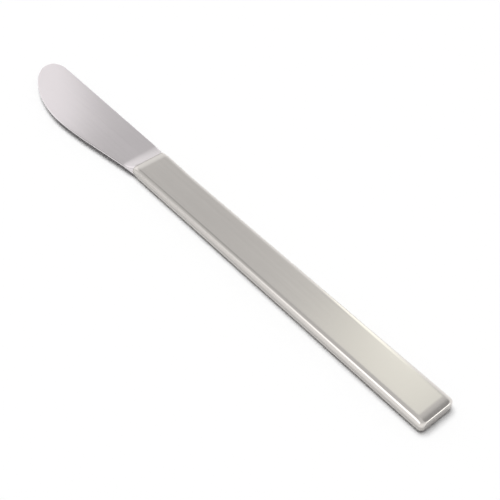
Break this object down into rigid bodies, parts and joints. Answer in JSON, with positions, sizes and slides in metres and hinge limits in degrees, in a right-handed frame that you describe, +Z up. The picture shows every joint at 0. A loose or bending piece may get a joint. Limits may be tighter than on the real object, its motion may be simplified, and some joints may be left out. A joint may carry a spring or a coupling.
{
  "type": "table knife",
  "caption": "Table knife with a short round-ended spreading blade, a coved bolster and a slim flat hollow handle in satin steel.",
  "frame": {"origin": "middle of the handle's flat underside, on the surface that the knife lies on", "axes": "+X along the handle from the tip to the butt, +Y to the spine side, +Z up, square to the flat faces"},
  "size_m": [0.2101, 0.0196, 0.005],
  "materials": {
    "blade_steel": "satin",
    "handle_steel": "satin",
    "weld_steel": "satin",
    "braze_metal": "satin",
    "cement": "matte"
  },
  "bodies": {
    "root": {"blade": "blade_steel", "handle_shell_upper": "handle_steel", "handle_shell_lower": "handle_steel", "handle_weld": "weld_steel", "shoulder_braze": "braze_metal", "handle_filler": "cement"}
  },
  "joints": []
}
